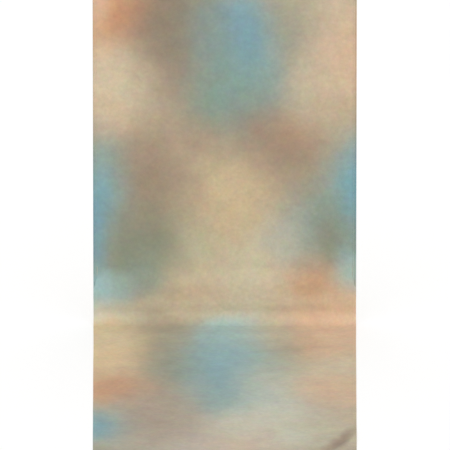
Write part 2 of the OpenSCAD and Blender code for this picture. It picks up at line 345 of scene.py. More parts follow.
# The dyes on the maker's shelf, as they look on the cloth
DYES = {
    "sand": (190, 170, 140), "cream": (208, 194, 166), "gold": (220, 196, 150),
    "peach": (214, 180, 148), "orange": (198, 146, 110), "umber": (142, 118, 100),
    "taupe": (158, 142, 124), "olive": (132, 134, 114), "sage": (126, 142, 124),
    "green": (186, 190, 156), "teal": (128, 164, 162), "blue": (112, 162, 184),
    "grey": (188, 182, 170), "ice": (172, 202, 198), "mist": (200, 206, 190),
}
DYE_GAIN = 0.85   # the light on the cloth makes up the rest

# Clouds, in the order they are laid on: across and up the cloth in
# centimetres from the top of the sweep, half width, half height, tilt in degrees,
# dye, strength. Below -11 they lie on the floor, where they are drawn out lengthwise.
# Two entries are painted light, not dye: a painted highlight across the sweep and painted shade along the train's
# diagonal fold.
CLOUDS = [
    (0, 123, 139, 117, 0, "taupe", 0.60),
    (0, -81, 139, 62, 0, "grey", 0.75),
    (-55, 59, 64, 68, 0, "olive", 0.45),
    (67, 65, 58, 68, 0, "olive", 0.45),
    (-75, 154, 27, 62, 0, "peach", 0.70),
    (-65, 141, 44, 46, 40, "cream", 0.75),
    (-72, 118, 35, 25, 0, "peach", 0.35),
    (-63, 185, 34, 34, 0, "orange", 0.95),
    (-75, 187, 17, 25, 0, "peach", 0.80),
    (-37, 182, 34, 49, 20, "umber", 0.85),
    (-27, 159, 30, 34, 0, "umber", 0.55),
    (-30, 143, 35, 37, 0, "taupe", 0.50),
    (9, 155, 51, 74, 0, "teal", 0.85),
    (-12, 182, 30, 37, 0, "sage", 0.60),
    (9, 170, 34, 44, 0, "blue", 0.75),
    (-4, 126, 38, 38, 0, "sage", 0.60),
    (9, 137, 32, 37, 0, "teal", 0.45),
    (64, 166, 52, 68, 0, "cream", 0.65),
    (39, 173, 35, 55, 0, "taupe", 0.30),
    (73, 157, 34, 52, 0, "peach", 0.75),
    (48, 137, 25, 37, 30, "cream", 0.30),
    (72, 118, 35, 25, 0, "sand", 0.50),
    (29, 101, 47, 37, 30, "umber", 0.60),
    (36, 112, 29, 21, 30, "orange", 0.20),
    (-43, 83, 49, 46, 0, "umber", 0.50),
    (-14, 100, 35, 31, 0, "sand", 0.45),
    (4, 64, 49, 62, 0, "sand", 0.85),
    (6, 65, 35, 52, 0, "gold", 0.35),
    (-20, 42, 25, 27, 0, "green", 0.45),
    (-77, 62, 36, 80, 0, "teal", 0.90),
    (-77, 51, 22, 52, 0, "blue", 0.70),
    (-48, 40, 41, 42, 0, "olive", 0.75),
    (-45, 30, 30, 28, 0, "sage", 0.45),
    (-72, 16, 34, 25, 0, "teal", 0.70),
    (-77, 12, 17, 21, 0, "blue", 0.40),
    (77, 70, 36, 69, 0, "teal", 0.90),
    (79, 77, 23, 46, 0, "blue", 0.60),
    (57, 48, 32, 38, 0, "olive", 0.80),
    (51, 65, 25, 27, 0, "teal", 0.30),
    (76, 30, 27, 26, 0, "teal", 0.55),
    (7, 21, 64, 37, 0, "cream", 0.60),
    (-6, 9, 41, 18, 0, "peach", 0.35),
    (13, 26, 23, 31, 0, "green", 0.30),
    (45, 16, 38, 33, 0, "orange", 0.60),
    (64, -1, 53, 27, 0, "peach", 0.85),
    (20, 3, 35, 21, 0, "cream", 0.50),
    (-70, -2, 36, 12, 0, "cream", 0.80),
    (-38, -8, 41, 14, 0, "taupe", 0.50),
    (-75, -24, 49, 30, 0, "gold", 0.90),
    (-65, -33, 35, 18, 0, "peach", 0.35),
    (-33, -29, 35, 37, 0, "olive", 0.50),
    (67, -16, 56, 27, 0, "peach", 0.80),
    (48, -26, 32, 10, 0, "orange", 0.30),
    (66, -36, 46, 16, 0, "cream", 0.60),
    (61, -48, 46, 15, 0, "peach", 0.70),
    (2, -33, 56, 52, 0, "teal", 0.80),
    (33, -28, 25, 26, 0, "sage", 0.30),
    (3, -26, 32, 30, 0, "blue", 0.50),
    (-6, -44, 30, 22, 0, "blue", 0.30),
    (-65, -48, 46, 16, 0, "orange", 0.75),
    (-30, -40, 25, 21, 0, "sage", 0.35),
    (-34, -65, 52, 25, 0, "taupe", 0.55),
    (-77, -69, 42, 18, 0, "teal", 0.90),
    (-77, -69, 25, 12, 0, "blue", 0.35),
    (7, -55, 46, 16, 0, "teal", 0.55),
    (15, -69, 52, 14, 0, "cream", 0.50),
    (15, -81, 52, 11, 0, "peach", 0.35),
    (50, -77, 46, 21, 0, "green", 0.40),
    (67, -85, 41, 12, 0, "taupe", 0.40),
    (-66, -87, 52, 14, 0, "sage", 0.55),
    # painted shade: an umber streak along the shaded side of the diagonal fold on the train, whose ridge is also in
    # the relief; it is not a dye cloud
    (66, -79, 22, 6, -35, "umber", 0.75),
    (-16, 169, 43, 46, 0, "olive", 0.38),
    (36, 178, 27, 34, 0, "sage", 0.32),
    (9, 153, 49, 55, 0, "sage", 0.18),
    (-52, 184, 23, 22, 0, "orange", 0.35),
    (62, 166, 35, 49, 0, "taupe", 0.16),
    (-15, 107, 22, 23, 0, "umber", 0.28),
    (-73, 12, 31, 23, 0, "ice", 0.55),
    (-49, 10, 27, 26, 0, "teal", 0.22),
    (18, 27, 35, 41, 0, "cream", 0.50),
    (37, 44, 31, 33, 0, "ice", 0.32),
    (75, 24, 23, 21, 0, "ice", 0.40),
    (2, -11, 32, 18, 0, "ice", 0.45),
    (25, -18, 28, 16, 0, "cream", 0.35),
    (26, -48, 36, 33, 0, "mist", 0.42),
    (35, -64, 27, 18, 0, "mist", 0.30),
    (-43, -66, 38, 33, 0, "taupe", 0.35),
    (-30, 166, 44, 52, 0, "umber", 0.28),
    (-7, 159, 31, 39, 0, "olive", 0.20),
    (6, -29, 35, 31, 0, "teal", 0.22),
    (11, -65, 35, 17, 0, "mist", 0.25),
    (59, 134, 29, 31, 0, "sand", 0.30),
    (-60, 139, 29, 31, 0, "sand", 0.25),
    (4, -23, 34, 26, 0, "ice", 0.28),
    (54, -17, 32, 16, 0, "peach", 0.25),
    # painted highlight: a broad cream band across the sweep's curve, where the cloth turns up towards the light; it
    # is not a dye cloud
    (0, 4, 110, 10, 0, "cream", 0.50),
    (-12, 168, 21, 36, 0, "teal", 0.48),
    (-34, 171, 23, 44, 0, "olive", 0.32),
    (2, 99, 21, 22, 0, "olive", 0.15),
    (18, 128, 21, 25, 0, "umber", 0.16),
    (-43, 22, 21, 22, 0, "teal", 0.16),
    (15, 19, 27, 22, 0, "cream", 0.45),
    (37, -79, 24, 10, 0, "mist", 0.40),
    (-66, -18, 27, 10, 0, "cream", 0.28),
    (-20, 175, 25, 38, 0, "umber", 0.26),
]


def node(tree, kind, **inputs):
    n = tree.nodes.new(kind)
    for key, value in inputs.items():
        n.inputs[int(key[1:]) if key[0] == "i" and key[1:].isdigit() else key].default_value = value
    return n


def math_node(tree, op, a, b=None, clamp=False):
    n = tree.nodes.new("ShaderNodeMath")
    n.operation, n.use_clamp = op, clamp
    for i, value in enumerate((a, b)):
        if value is None:
            continue
        if isinstance(value, (int, float)):
            n.inputs[i].default_value = value
        else:
            tree.links.new(value, n.inputs[i])
    return n.outputs[0]


def mix_colour(tree, factor, a, b, mode="MIX"):
    n = tree.nodes.new("ShaderNodeMix")
    n.data_type, n.blend_type = "RGBA", mode
    for socket, value in ((n.inputs[0], factor), (n.inputs[6], a), (n.inputs[7], b)):
        if isinstance(value, (int, float)):
            socket.default_value = value
        elif isinstance(value, (tuple, list, np.ndarray)):
            socket.default_value = (*[float(c) for c in value][:3], 1)
        else:
            tree.links.new(value, socket)
    return n.outputs[2]


def noise_node(tree, vector, scale, detail=2.0, rough=0.5, distort=0.0, squeeze=None, out="Fac"):
    if squeeze:
        m = tree.nodes.new("ShaderNodeMapping")
        m.inputs["Scale"].default_value = squeeze
        tree.links.new(vector, m.inputs["Vector"])
        vector = m.outputs[0]
    n = tree.nodes.new("ShaderNodeTexNoise")
    n.inputs["Scale"].default_value = scale
    n.inputs["Detail"].default_value = detail
    n.inputs["Roughness"].default_value = rough
    n.inputs["Distortion"].default_value = distort
    tree.links.new(vector, n.inputs["Vector"])
    return n.outputs[out] if out in n.outputs else n.outputs[0]


def wave_node(tree, vector, scale, axis, profile="SIN", distort=0.0):
    n = tree.nodes.new("ShaderNodeTexWave")
    n.wave_type, n.bands_direction, n.wave_profile = "BANDS", axis, profile
    n.inputs["Scale"].default_value = scale
    n.inputs["Distortion"].default_value = distort
    n.inputs["Detail"].default_value = 1.0
    n.inputs["Detail Scale"].default_value = 1.5
    tree.links.new(vector, n.inputs["Vector"])
    return n.outputs["Fac"] if "Fac" in n.outputs else n.outputs[1]


def map_range(tree, value, a, b, c, d, kind="LINEAR"):
    n = tree.nodes.new("ShaderNodeMapRange")
    n.interpolation_type = kind
    n.clamp = True
    for i, x in enumerate((a, b, c, d)):
        n.inputs[i + 1].default_value = x
    tree.links.new(value, n.inputs[0])
    return n.outputs[0]


def dye_and_painted_light_group():
    """Cloth coordinates in, dyed colour out, with a painted highlight and painted shade among the clouds."""
    g = bpy.data.node_groups.new("hand_dye_and_painted_light", "ShaderNodeTree")
    g.interface.new_socket("Cloth", in_out="INPUT", socket_type="NodeSocketVector")
    g.interface.new_socket("Color", in_out="OUTPUT", socket_type="NodeSocketColor")
    gi, go = g.nodes.new("NodeGroupInput"), g.nodes.new("NodeGroupOutput")
    cloth = gi.outputs[0]
    # the clouds' edges wander, in three sizes
    here = cloth
    parts = g.nodes.new("ShaderNodeSeparateXYZ")
    g.links.new(cloth, parts.inputs[0])
    high = math_node(g, "MAXIMUM", parts.outputs[1], -ARC)
    low = math_node(g, "MINIMUM", math_node(g, "ADD", parts.outputs[1], ARC), 0.0)
    drawn = math_node(g, "ADD", high, math_node(g, "MULTIPLY", low, 0.364))
    join = g.nodes.new("ShaderNodeCombineXYZ")
    g.links.new(parts.outputs[0], join.inputs[0])
    g.links.new(drawn, join.inputs[1])
    here = cloth = join.outputs[0]
    for scale, size, detail in ((1.4, 0.17, 2.0), (5.0, 0.085, 3.0), (17.0, 0.022, 3.0)):
        wander = noise_node(g, cloth, scale, detail, 0.55, out="Color")
        sub = g.nodes.new("ShaderNodeVectorMath")
        sub.operation = "SUBTRACT"
        sub.inputs[1].default_value = (0.5, 0.5, 0.5)
        g.links.new(wander, sub.inputs[0])
        add = g.nodes.new("ShaderNodeVectorMath")
        add.operation = "MULTIPLY_ADD"
        add.inputs[1].default_value = (size, size, 0)
        g.links.new(sub.outputs[0], add.inputs[0])
        g.links.new(here, add.inputs[2])
        here = add.outputs[0]
    flat = g.nodes.new("ShaderNodeVectorMath")
    flat.operation = "MULTIPLY"
    flat.inputs[1].default_value = (1, 1, 0)
    g.links.new(here, flat.inputs[0])
    here = flat.outputs[0]
    colour = linear(DYES["sand"]) * DYE_GAIN
    for x, y, rx, ry, tilt, dye, amount in CLOUDS:
        m = g.nodes.new("ShaderNodeMapping")
        m.vector_type = "TEXTURE"
        m.inputs["Location"].default_value = (x / 100, y / 100, 0)
        m.inputs["Rotation"].default_value = (0, 0, math.radians(-tilt))
        m.inputs["Scale"].default_value = (rx / 100, ry / 100, 1)
        if isinstance(colour, bpy.types.NodeSocket):
            # a nudge of a thousandth of a millimetre makes Cycles work out the clouds
            # one after another, since it has no room to hold them all at once
            nudge = g.nodes.new("ShaderNodeVectorMath")
            nudge.operation = "MULTIPLY_ADD"
            nudge.inputs[1].default_value = (1e-6, 1e-6, 0)
            g.links.new(colour, nudge.inputs[0])
            g.links.new(here, nudge.inputs[2])
            g.links.new(nudge.outputs[0], m.inputs["Vector"])
        else:
            g.links.new(here, m.inputs["Vector"])
        r = g.nodes.new("ShaderNodeVectorMath")
        r.operation = "LENGTH"
        g.links.new(m.outputs[0], r.inputs[0])
        w = map_range(g, r.outputs["Value"], 0, 1, amount, 0, "SMOOTHERSTEP")
        colour = mix_colour(g, w, colour, linear(DYES[dye]) * DYE_GAIN)
    g.links.new(colour, go.inputs[0])
    return g


DYE_AND_PAINTED_LIGHT = None


def shader(name, slot_word=None):
    mat = bpy.data.materials.new(name)
    mat.use_nodes = True
    tree = mat.node_tree
    tree.nodes.clear()
    out = tree.nodes.new("ShaderNodeOutputMaterial")
    bsdf = tree.nodes.new("ShaderNodeBsdfPrincipled")
    tree.links.new(bsdf.outputs[0], out.inputs[0])
    return mat, tree, bsdf


def bump(tree, bsdf, layers):
    """layers: (height socket, strength, distance) stacked one on another."""
    last = None
    for height, strength, distance in layers:
        b = tree.nodes.new("ShaderNodeBump")
        b.inputs["Strength"].default_value = strength
        b.inputs["Distance"].default_value = distance
        tree.links.new(height, b.inputs["Height"])
        if last is not None:
            tree.links.new(last, b.inputs["Normal"])
        last = b.outputs[0]
    tree.links.new(last, bsdf.inputs["Normal"])


def cloth_uv(tree, name="ClothUV"):
    uv = tree.nodes.new("ShaderNodeUVMap")
    uv.uv_map = name
    return uv.outputs[0]


def weave_height(tree, uv, pitch):
    """Over-and-under plain weave with uneven yarns, from cloth coordinates."""
    f = 0.31416 / pitch      # one yarn per pitch: the wave texture counts in its own units
    warp = wave_node(tree, uv, f, "X", distort=0.6)
    weft = wave_node(tree, uv, f, "Y", distort=0.6)
    slub_x = noise_node(tree, uv, 1.0, 2, 0.5, squeeze=(1100, 55, 1))
    slub_y = noise_node(tree, uv, 1.0, 2, 0.5, squeeze=(55, 1100, 1))
    both = math_node(tree, "ADD", warp, weft)
    slubs = math_node(tree, "ADD", slub_x, slub_y)
    return math_node(tree, "ADD", math_node(tree, "MULTIPLY", both, 0.5), slubs), slubs


def muslin(name, base=None, gain=1.0, fleck=0.05):
    """Dyed muslin, whose pattern also holds a painted highlight and painted shade, if base is None, else plain
    muslin of that colour.
    """
    global DYE_AND_PAINTED_LIGHT
    mat, tree, bsdf = shader(name)
    uv = cloth_uv(tree)
    if base is None:
        if DYE_AND_PAINTED_LIGHT is None:
            DYE_AND_PAINTED_LIGHT = dye_and_painted_light_group()
        g = tree.nodes.new("ShaderNodeGroup")
        g.node_tree = DYE_AND_PAINTED_LIGHT
        tree.links.new(uv, g.inputs[0])
        colour = g.outputs[0]
    else:
        shade = noise_node(tree, uv, 3.0, 4, 0.6)
        colour = mix_colour(tree, map_range(tree, shade, 0.3, 0.7, 0, 1), linear(base[0]), linear(base[1]))
    # where the dye took unevenly: soft mottling, and the yarns' own variation
    mottle = noise_node(tree, uv, 9.0, 5, 0.62)
    m1 = map_range(tree, mottle, 0.25, 0.75, 1 - 0.09, 1 + 0.06)
    blotch = noise_node(tree, uv, 38.0, 3, 0.6)
    m2 = map_range(tree, blotch, 0.25, 0.75, 1 - 0.065, 1 + 0.055)
    height, slubs = weave_height(tree, uv, 0.0007)
    m3 = map_range(tree, slubs, 0.7, 1.3, 1 - fleck, 1 + fleck)
    scale = math_node(tree, "MULTIPLY", math_node(tree, "MULTIPLY", m1, m2), math_node(tree, "MULTIPLY", m3, gain))
    mul = tree.nodes.new("ShaderNodeVectorMath")
    mul.operation = "SCALE"
    tree.links.new(colour, mul.inputs[0])
    tree.links.new(scale, mul.inputs["Scale"])
    tinted = mul.outputs[0]
    # the dyes part a little in the cloth, so small patches lean warm or cool
    for size, detail, part in ((13.0, 4.0, 0.12), (46.0, 4.0, 0.10)):
        hue = noise_node(tree, uv, size, detail, 0.6, out="Color")
        lean = tree.nodes.new("ShaderNodeVectorMath")
        lean.operation = "MULTIPLY_ADD"
        lean.inputs[1].default_value = (2 * part,) * 3
        lean.inputs[2].default_value = (1 - part,) * 3
        tree.links.new(hue, lean.inputs[0])
        both = tree.nodes.new("ShaderNodeVectorMath")
        both.operation = "MULTIPLY"
        tree.links.new(tinted, both.inputs[0])
        tree.links.new(lean.outputs[0], both.inputs[1])
        tinted = both.outputs[0]
    tree.links.new(tinted, bsdf.inputs["Base Color"])
    tree.links.new(map_range(tree, blotch, 0.3, 0.7, 0.86, 0.97), bsdf.inputs["Roughness"])
    bsdf.inputs["Sheen Weight"].default_value = 0.10
    bsdf.inputs["Sheen Roughness"].default_value = 0.6
    bsdf.inputs["Specular IOR Level"].default_value = 0.25
    crumple = noise_node(tree, uv, 26.0, 4, 0.55, distort=0.4)
    crepe = noise_node(tree, uv, 150.0, 3, 0.6)
    bump(tree, bsdf, [(crumple, 0.5, 0.0018), (crepe, 0.35, 0.0005), (height, 0.5, 0.00012)])
    return mat


def thread_material():
    mat, tree, bsdf = shader("stitch_thread")
    tc = tree.nodes.new("ShaderNodeTexCoord")
    shade = noise_node(tree, tc.outputs["Object"], 900.0, 3, 0.6)
    long = noise_node(tree, tc.outputs["Object"], 14.0, 3, 0.6)
    c = mix_colour(tree, map_range(tree, shade, 0.3, 0.7, 0, 1), linear((196, 182, 152)), linear((214, 204, 178)))
    c = mix_colour(tree, map_range(tree, long, 0.35, 0.75, 0, 0.35), c, linear((168, 158, 136)))
    tree.links.new(c, bsdf.inputs["Base Color"])
    tree.links.new(map_range(tree, shade, 0.2, 0.8, 0.55, 0.8), bsdf.inputs["Roughness"])
    bsdf.inputs["Sheen Weight"].default_value = 0.15
    twist = wave_node(tree, tc.outputs["Object"], 700.0, "DIAGONAL", distort=0.5)
    bump(tree, bsdf, [(twist, 0.6, 0.0002)])
    return mat


def webbing_material():
    mat, tree, bsdf = shader("webbing_black")
    uv = cloth_uv(tree, "StrapUV")
    # herringbone: diagonals that turn at each rib across the strap
    sep = tree.nodes.new("ShaderNodeSeparateXYZ")
    tree.links.new(uv, sep.inputs[0])
    zig = math_node(tree, "PINGPONG", sep.outputs[0], 0.0028)
    comb = tree.nodes.new("ShaderNodeCombineXYZ")
    tree.links.new(zig, comb.inputs[0])
    tree.links.new(sep.outputs[1], comb.inputs[1])
    bars = wave_node(tree, comb.outputs[0], 210.0, "DIAGONAL", distort=0.3)
    ribs = wave_node(tree, uv, 0.31416 / 0.0028, "X")
    fuzz = noise_node(tree, uv, 700.0, 3, 0.6)
    wear = noise_node(tree, uv, 60.0, 4, 0.65)
    c = mix_colour(tree, map_range(tree, bars, 0.2, 0.9, 0, 1), linear((24, 24, 26)), linear((52, 52, 55)))
    c = mix_colour(tree, map_range(tree, fuzz, 0.45, 0.8, 0, 0.5), c, linear((74, 74, 78)))
    c = mix_colour(tree, map_range(tree, wear, 0.55, 0.8, 0, 0.35), c, linear((92, 90, 88)))
    tree.links.new(c, bsdf.inputs["Base Color"])
    tree.links.new(map_range(tree, fuzz, 0.2, 0.8, 0.6, 0.85), bsdf.inputs["Roughness"])
    bsdf.inputs["Sheen Weight"].default_value = 0.2
    bsdf.inputs["Sheen Roughness"].default_value = 0.5
    bump(tree, bsdf, [(ribs, 0.4, 0.0004), (bars, 0.7, 0.0003), (fuzz, 0.3, 0.0001)])
    return mat


def metal_material(name, low, high, rough_low, rough_high, brush=(1, 1, 1), scratch=0.4):
    mat, tree, bsdf = shader(name)
    tc = tree.nodes.new("ShaderNodeTexCoord")
    at = tc.outputs["Object"]
    tone = noise_node(tree, at, 90.0, 4, 0.6)
    lines = noise_node(tree, at, 1.0, 4, 0.7, squeeze=brush)
    c = mix_colour(tree, map_range(tree, tone, 0.3, 0.7, 0, 1), low, high)
    c = mix_colour(tree, map_range(tree, lines, 0.35, 0.75, 0, 0.3), c, tuple(0.72 * v for v in low))
    tree.links.new(c, bsdf.inputs["Base Color"])
    bsdf.inputs["Metallic"].default_value = 1.0
    tree.links.new(map_range(tree, lines, 0.3, 0.7, rough_low, rough_high), bsdf.inputs["Roughness"])
    bump(tree, bsdf, [(lines, scratch, 0.00003), (tone, 0.15, 0.0001)])
    return mat


mat_front = muslin("dyed_muslin")
mat_casing = muslin("dyed_muslin_casing", gain=0.97, fleck=0.06)
mat_lining = muslin("lining_muslin", base=((186, 174, 150), (206, 196, 172)), fleck=0.10)
mat_thread = thread_material()
mat_web = webbing_material()
mat_nickel = metal_material("eyelet_nickel", (0.66, 0.64, 0.60), (0.78, 0.76, 0.72), 0.22, 0.42, (500, 500, 60))
mat_steel = metal_material("spring_steel", (0.20, 0.22, 0.26), (0.34, 0.36, 0.40), 0.30, 0.55, (900, 900, 30))

# ---------------------------------------------------------------- cloth pieces

v_of = lambda z: z - COVE_Z                       # a height on the panel
v_at = lambda d: -(ARC + d + COVE_Y)              # a distance along the floor from the panel

rows_up = np.concatenate([steps(v_of(0.60), v_of(1.98), 0.010)[:-1],
                          steps(v_of(1.98), v_of(2.115), 0.0085)[:-1],
                          v_of(2.1254 - 0.0104 * np.linspace(1, 0, 7) ** 2)])
front_cloth = cloth_piece("front_cloth", rows_up, columns(False, 0.0105), mat_front)
rows_sweep = np.concatenate([steps(v_of(0.60), v_of(0.35), 0.011)[:-1], steps(v_of(0.35), 0, 0.008)[:-1],
                             steps(0, -ARC, 0.0055)[:-1], steps(-ARC, v_at(0.47), 0.0085)])
cloth_sweep = cloth_piece("cloth_sweep", rows_sweep, columns(True, 0.0105), mat_front)
train_mid = cloth_piece("train_cloth_mid", steps(v_at(0.47), v_at(1.26), 0.010), columns(True, 0.0105), mat_front)
end_rows = np.concatenate([steps(v_at(1.26), V_END + 0.030, 0.009),
                           V_END + np.array([0.0235, 0.0206, 0.0192, 0.0178, 0.014, 0.009, 0.004, 0.0013, 0.0006, 0.0])])
train_end = cloth_piece("train_cloth_end", end_rows, columns(True, 0.0105), mat_front)


def lining_relief(x, z):
    edge = inside_rim(x, z, foot=True) - FLANGE
    pull = np.clip(edge / 0.028, 0, None)
    pull = pull * np.exp(1 - pull)
    along = np.where(HALF_W - np.abs(x) < np.minimum(PANEL_H - z, z), z, x)
    spread = np.exp(-np.clip(edge, 0, None) / 0.22)
    fan = np.sin(26 * np.arctan2(np.abs(z - PANEL_H / 2), HALF_W + 0.25 - np.abs(x)) + 3 * broad(x * 2, z * 2))
    return smooth(edge / 0.012) * (
        0.0007 * pull * (0.9 + np.sin(along * 92 + 5.0 * edge_n(along * 5, x)))
        + smooth(edge / 0.06) * (0.0013 * (0.6 + broad(x * 1.8 + 31, z * 1.6))
                                 + 0.0006 * (0.6 + mid_n(x * 6 + 5, z * 7))
                                 + 0.0005 * spread * (1 + fan)))


def lining_front(x, v):
    return np.stack([x, 0.00008 + lining_relief(x, v), v + FLOOR_Z], -1)


def lining_back(x, v):
    return np.stack([x, 0.00068 + lining_relief(x, v), v + FLOOR_Z], -1)


def lining_width(v):
    rc = INNER_R
    low = np.clip(CORNER - v, 0, rc * 0.9995)
    high = np.clip(v - (PANEL_H - CORNER), 0, rc * 0.9995)
    k = np.maximum(low, high)
    return np.where(k > 0, HALF_W - CORNER + np.sqrt(rc ** 2 - k ** 2), HALF_W - CORNER + rc)


ends = 0.0104 * np.linspace(1, 0, 7) ** 2
lining_rows = np.concatenate([0.0086 + ends[::-1][:-1] * 1.0, steps(0.019, 0.15, 0.011)[:-1], steps(0.15, 0.92, 0.020)[:-1],
                              steps(0.92, 1.32, 0.010)[:-1], steps(1.32, 1.984, 0.020)[:-1],
                              steps(1.984, 2.115, 0.011)[:-1], 2.1254 - ends])
back_lining = cloth_piece("back_lining", lining_rows, columns(False, 0.0125), mat_lining,
                          points=(lining_front, lining_back), width=lining_width)


# ------------------------------------------------------------------- rim pieces

def rim_path(step):
    """Stations round the panel's outer edge, from the middle of the foot towards +x:
    point, inward direction and distance run."""
    out, straight_x, straight_z = [], HALF_W - CORNER, PANEL_H - 2 * CORNER
    quarter = CORNER * math.pi / 2
    legs = [("line", straight_x, (0, 0), (1, 0), (0, 1)),
            ("arc", quarter, (straight_x, CORNER), -90, None),
            ("line", straight_z, (HALF_W, CORNER), (0, 1), (-1, 0)),
            ("arc", quarter, (straight_x, PANEL_H - CORNER), 0, None),
            ("line", 2 * straight_x, (straight_x, PANEL_H), (-1, 0), (0, -1)),
            ("arc", quarter, (-straight_x, PANEL_H - CORNER), 90, None),
            ("line", straight_z, (-HALF_W, PANEL_H - CORNER), (0, -1), (1, 0)),
            ("arc", quarter, (-straight_x, CORNER), 180, None),
            ("line", straight_x, (-straight_x, 0), (1, 0), (0, 1))]
    s0 = 0.0
    for kind, length, p, d, n in legs:
        count = max(2, int(round(length / step)))
        for k in range(count):
            t = length * k / count
            if kind == "line":
                out.append((p[0] + d[0] * t, p[1] + d[1] * t, n[0], n[1], s0 + t))
            else:
                a = math.radians(d) + t / CORNER
                out.append((p[0] + CORNER * math.cos(a), p[1] + CORNER * math.sin(a),
                            -math.cos(a), -math.sin(a), s0 + t))
        s0 += length
    return np.array(out), s0


def rim_points(path, inward, depth):
    """inward and depth: (stations, section points)."""
    x = path[:, 0:1] + path[:, 2:3] * inward
    z = path[:, 1:2] + path[:, 3:4] * inward
    return np.stack([x, np.broadcast_to(depth, x.shape), z + FLOOR_Z], -1)


def tube(rings, points, closed, start=0, flip=False):
    """Quads of a swept section: rings stations of points each."""
    i = np.arange(rings if closed else rings - 1)[:, None]
    j = np.arange(points)[None, :]
    a = start + i * points + j
    b = start + i * points + (j + 1) % points
    c = start + ((i + 1) % rings) * points + (j + 1) % points
    d = start + ((i + 1) % rings) * points + j
    quad = np.stack([a, b, c, d], -1).reshape(-1, 4)
    return quad[:, ::-1] if flip else quad


MM = 0.001
path, rim_len = rim_path(0.0058)
outer = np.array([
    (22.0, -1.10), (21.7, -1.48), (20.6, -1.55), (18.5, -1.50), (15.2, -1.56), (12.0, -1.50),
    (10.0, -1.56), (8.7, -1.85), (7.8, -2.6), (7.25, -3.7), (6.95, -4.9), (6.35, -5.95), (5.3, -6.5),
    (3.9, -6.6), (2.5, -6.35), (1.3, -5.5), (0.45, -4.1), (0.08, -2.2), (0.0, 0.0),
    (0.08, 2.2), (0.45, 4.1), (1.3, 5.5), (2.5, 6.35), (3.9, 6.6), (5.3, 6.5), (6.35, 5.95),
    (6.95, 4.9), (7.25, 3.7), (7.8, 2.6), (8.7, 1.85), (10.0, 1.56), (12.0, 1.50), (15.2, 1.56),
    (18.5, 1.50), (20.6, 1.55), (21.7, 1.48), (22.0, 1.10), (21.7, 0.80), (15.0, 0.77), (9.0, 0.78),
    (7.6, 0.60), (7.3, 0.0), (7.6, -0.60), (9.0, -0.78), (15.0, -0.77), (21.7, -0.80)]) * MM
pocket = np.array([(0.95, -4.6), (1.7, -5.5), (3.4, -5.75), (5.2, -5.4), (5.85, -4.2), (5.95, 0), (5.85, 4.2),
                   (5.2, 5.4), (3.4, 5.75), (1.7, 5.5), (0.95, 4.6), (0.88, 0)]) * MM


def casing():
    """The casing sewn round the rim: bead and flanges, puckered between the stitches."""
    s = path[:, 4:5]
    a = np.broadcast_to(outer[:, 0], (len(path), len(outer))).copy()
    y = np.broadcast_to(outer[:, 1], a.shape).copy()
    sign = np.sign(y)
    on_bead = bell((a - 3.6 * MM) / (3.4 * MM)) * smooth(np.abs(y) / (3 * MM))
    on_flange = smooth((a - 9.5 * MM) / (2 * MM)) * smooth((21.9 * MM - a) / (1 * MM)) * (np.abs(y) > 1.2 * MM)
    pucker = (0.5 + 0.5 * np.sin(s * 2 * math.pi / 0.0232 + 3 * edge_n(s * 9, s * 0 + 1.5)))
    slow = broad(s * 5.0, s * 0 + 4.2)
    y -= sign * on_bead * (0.00035 * pucker + 0.00030 * (0.5 + slow))
    quilt = (1 - bell((a - 12 * MM) / (1.3 * MM))) * (1 - bell((a - 18.5 * MM) / (1.3 * MM)))
    y += sign * on_flange * quilt * 0.00022 * (0.6 + edge_n(s * 55, a * 300))
    a += 0.00025 * (edge_n(s * 40, s * 0 + 7.5)) * smooth((a - 20 * MM) / (1.5 * MM))
    a += 0.00022 * bell(a / (0.8 * MM)) * (0.6 + edge_n(s * 48, y * 120 + 3))
    out = rim_points(path, a, y)
    hollow = rim_points(path, np.broadcast_to(pocket[:, 0], (len(path), len(pocket))),
                        np.broadcast_to(pocket[:, 1], (len(path), len(pocket))))
    n = out.shape[0] * out.shape[1]
    verts = np.concatenate([out.reshape(-1, 3), hollow.reshape(-1, 3)])
    faces = np.concatenate([tube(len(path), len(outer), True),
                            tube(len(path), len(pocket), True, start=n)])
    ob = new_mesh("rim_casing", verts, faces, mat_casing)
    set_uv(ob, "ClothUV", np.stack([verts[:, 0], verts[:, 2] - FLOOR_Z - COVE_Z], 1))
    return ob


rim_casing = casing()


def orient(ob):
    """Turns a closed mesh's faces outward."""
    import bmesh
    bm = bmesh.new()
    bm.from_mesh(ob.data)
    bmesh.ops.recalc_face_normals(bm, faces=bm.faces)
    bm.to_mesh(ob.data)
    bm.free()
    return ob


def band():
    """The spring band in its pocket, its two ends butted at the middle of the foot."""
    at = rim_path(0.012)[0]
    ends_in = at.copy()
    ends_in[0, 0] += 0.0005
    tail = ends_in[0:1].copy()
    tail[0, 0] = -0.0005
    line = np.concatenate([ends_in, tail])
    section = np.array([(2.85, -4.9), (3.4, -5.0), (3.95, -4.9), (4.0, -4.6), (4.0, 4.6), (3.95, 4.9),
                        (3.4, 5.0), (2.85, 4.9), (2.8, 4.6), (2.8, -4.6)]) * MM
    pts = rim_points(line, np.broadcast_to(section[:, 0], (len(line), len(section))),
                     np.broadcast_to(section[:, 1], (len(line), len(section))))
    k = len(section)
    faces = [tuple(f) for f in tube(len(line), k, False)]
    faces.append(tuple(range(k)))
    faces.append(tuple((len(line) - 1) * k + i for i in range(k))[::-1])
    ob = new_mesh("spring_band", pts, faces, mat_steel)
    return orient(ob)


spring_band = band()


